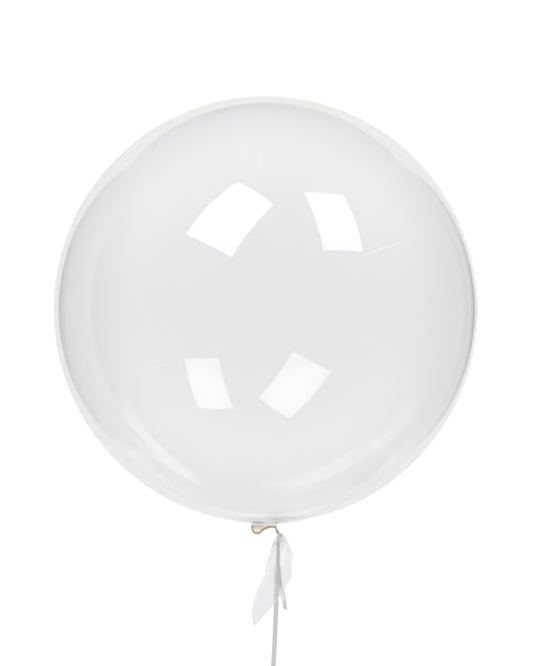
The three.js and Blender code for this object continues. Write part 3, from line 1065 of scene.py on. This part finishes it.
left_box = softbox(
    "softbox_left",
    centre=(-0.382, 1.139, 0.981),
    across=(0.719, -0.324, 0.615),
    upward=(0.498, 0.857, -0.131),
    width=0.67,
    height=1.024,
    radiance=3.6,
)
right_box = softbox(
    "softbox_right",
    centre=(0.915, 1.162, 0.899),
    across=(0.919, 0.061, -0.390),
    upward=(-0.226, 0.892, -0.391),
    width=0.638,
    height=0.937,
    radiance=3.5,
)
for lamp in (left_box, right_box):
    lamp.visible_camera = False
    lamp.visible_diffuse = False
    lamp.data.use_nodes = True
    tree = lamp.data.node_tree
    spot = shader_node(tree, "NewGeometry", (-900, 0))
    from_middle = shader_node(
        tree,
        "VectorMath",
        (-700, 0),
        {1: (0.5, 0.5, 0.0), 0: spot.outputs["Parametric"]},
        operation="DISTANCE",
    )
    falling = map_range(
        tree, (-500, 0), from_middle.outputs["Value"], 0.1, 0.75, 1.0, 0.72, smooth=True
    )
    tree.links.new(falling.outputs[0], tree.nodes["Emission"].inputs["Strength"])
panel = softbox("overhead_panel", (-0.6, 0.75, 6.0), (0.995, 0, 0.1), (0, 1, 0), 6.0, 6.0, 2.18)
panel.visible_camera = False
panel.visible_glossy = False
panel.visible_transmission = False

# ---- Studio ------------------------------------------------------------------------------------
# The room is evenly pale. What the film mirrors of it is dimmer: a grey ceiling, a bright far
# wall, greys below, a large white card under the balloon, low strip lights and a lamp stand.

world = bpy.data.worlds.new("studio")
bpy.context.scene.world = world
world.use_nodes = True
world.cycles.sampling_method = "NONE"
tree = world.node_tree
background = tree.nodes["Background"]


def maths(operation, a, b=0.0):
    """The result of a Math node in the room's tree."""
    return calculate(tree, (0, 0), operation, a, b)


def plus(a, b):
    """a + b, as a node."""
    return maths("ADD", a, b)


def minus(a, b):
    """a - b, as a node."""
    return maths("SUBTRACT", a, b)


def times(a, b):
    """a * b, as a node."""
    return maths("MULTIPLY", a, b)


def rise(value, start, end):
    """0 at start, 1 at end and a smooth step between, as a node."""
    return map_range(tree, (0, 0), value, start, end, smooth=True).outputs[0]


def profile(value, stops):
    """A grey that follows the stops, (value, brightness), with value from -1 to 1."""
    node = shader_node(tree, "ValToRGB", (0, 0), {"Fac": plus(times(value, 0.5), 0.5)})
    ramp = node.color_ramp
    while len(ramp.elements) < len(stops):
        ramp.elements.new(0.5)
    for element, (where, grey) in zip(ramp.elements, stops):
        element.position = (where + 1) / 2
        element.color = (grey, grey, grey, 1.0)
    return node.outputs["Color"]


direction = shader_node(tree, "TexCoord", (-1400, 0))
split = shader_node(tree, "SeparateXYZ", (-1200, 0), {0: direction.outputs["Generated"]})
to_right, to_top, upwards = split.outputs

ceiling_to_floor = profile(
    upwards,
    [
        (-1.0, 0.40), (-0.95, 0.38), (-0.905, 0.36), (-0.87, 0.46), (-0.80, 0.55), (-0.70, 0.55),
        (-0.57, 0.42), (-0.34, 0.26), (0.0, 0.18), (0.5, 0.17),
    ],
)
far_wall = profile(
    upwards,
    [
        (-0.9, 0.10), (-0.7, 0.15), (-0.4, 0.40), (-0.15, 0.80), (0.15, 0.92), (0.5, 0.35),
        (0.85, 0.0),
    ],
)
far_wall = times(rise(to_top, -0.1, 0.95), far_wall)
near_wall = times(rise(to_top, -0.15, -0.75), rise(upwards, 0.2, -0.6))
near_wall = times(near_wall, 0.22)
left_wall = profile(
    upwards,
    [
        (-0.62, 0.28), (-0.50, 0.36), (-0.34, 0.48), (-0.30, 0.28), (-0.26, 0.06), (-0.1, 0.08),
        (0.2, 0.30),
    ],
)
left_wall = minus(left_wall, 0.30)
left_wall = times(left_wall, rise(times(to_right, -1.0), 0.72, 0.90))


def soft_patch(around, middle, half_width, height, lean, half_height):
    """A soft patch of light at an angle round the balloon. Its height leans with the angle."""
    aside = minus(around, middle)
    level = plus(times(aside, lean), height)
    off = maths("ABSOLUTE", minus(upwards, level))
    sideways = rise(maths("ABSOLUTE", aside), half_width, half_width * 0.45)
    return times(sideways, rise(off, half_height, half_height * 0.38))


# Low strip lights on the neck's side, which only the outside of the film is turned to, with a
# dark board between two of them: angle, half width, height, lean, half height and strength.
LOW_STRIPS = [
    (-2.27, 0.43, -0.305, -0.335, 0.11, 0.42),
    (-1.27, 0.36, -0.275, 0.225, 0.16, 0.30),
    (-0.96, 0.22, -0.60, 0.0, 0.12, -0.18),
    (-0.74, 0.30, -0.296, 0.0, 0.12, 0.32),
    (-0.873, 0.035, -0.35, 0.0, 0.40, 0.12),
    (-1.57, 0.45, -0.86, 0.0, 0.10, 0.28),
]
around = maths("ARCTAN2", to_top, to_right)
strips = 0.0
for *patch, strength in LOW_STRIPS:
    strips = plus(strips, times(soft_patch(around, *patch), strength))
strips = plus(strips, left_wall)
rays = shader_node(tree, "LightPath", (-700, 300))
outside = maths("LESS_THAN", rays.outputs["Transmission Depth"], 3.0)
strips = times(strips, outside)
greys = plus(plus(ceiling_to_floor, far_wall), near_wall)
lamp_stand = times(soft_patch(around, 0.478, 0.032, 0.30, 9.0, 0.065), 1.2)
greys = plus(greys, lamp_stand)

# It is darkest low down on both sides.
turned = maths("ABSOLUTE", around)
dark_right = times(rise(turned, 0.42, 0.10), rise(upwards, -0.81, -0.87))
dark_left = times(rise(turned, 2.40, 2.90), rise(upwards, -0.78, -0.84))
darkness = plus(times(dark_right, 0.16), times(dark_left, 0.15))
greys = minus(greys, darkness)
greys = maths("MAXIMUM", plus(greys, strips), 0.02)

# The white card right under the balloon, in the directions seen from it: its sideways and
# lengthways slopes from straight down. Its sides bow in between its four corners.
CARD_EDGE_SOFTNESS = 0.035
downwards = maths("MAXIMUM", times(upwards, -1.0), 0.001)
slope_x = maths("DIVIDE", to_right, downwards)
slope_y = maths("DIVIDE", to_top, downwards)
square_x = times(slope_x, slope_x)
square_y = times(slope_y, slope_y)
past_left = minus(times(slope_y, 0.03), times(square_y, 0.33))
past_left = minus(past_left, slope_x)
past_right = minus(slope_x, times(square_y, 0.46))
past_far = minus(slope_y, times(square_x, 0.20))
aside = maths("ABSOLUTE", minus(slope_x, 0.07))
past_near = minus(times(slope_y, -1.0), times(aside, 0.71))
card = rise(upwards, -0.42, -0.52)
for past, edge in ((past_left, 0.598), (past_right, 0.478), (past_far, 0.71), (past_near, 0.49)):
    card = times(card, rise(past, edge + CARD_EDGE_SOFTNESS, edge - CARD_EDGE_SOFTNESS))
near_tone = (0.92, 0.92, 0.92, 1.0)
far_tone = (0.98, 0.965, 0.91, 1.0)
card_tone = blend(tree, (0, 0), rise(slope_y, -0.2, 0.6), near_tone, far_tone)
card_glow = plus(times(rise(upwards, -0.93, -0.985), 0.3), 1.0)
card_edge = plus(times(rise(slope_y, 0.2, -0.4), 0.11), 0.07)
card_edge = times(card_edge, rise(upwards, -0.88, -0.76))
lit = {0: card_tone, "Scale": minus(card_glow, card_edge)}
card_light = shader_node(tree, "VectorMath", (0, 0), lit, operation="SCALE")
mirrored = blend(tree, (0, 0), card, greys, card_light.outputs[0])
is_mirrored = maths("GREATER_THAN", rays.outputs["Glossy Depth"], 0.5)
seen_tone = (0.97, 0.97, 0.97, 1.0)
lighting_tone = (0.66, 0.66, 0.66, 1.0)
pale = blend(tree, (-250, 300), rays.outputs["Is Diffuse Ray"], seen_tone, lighting_tone)
room = blend(tree, (-250, 100), is_mirrored, pale, mirrored)
tree.links.new(room, background.inputs["Color"])
bpy.context.scene.view_settings.view_transform = "Standard"
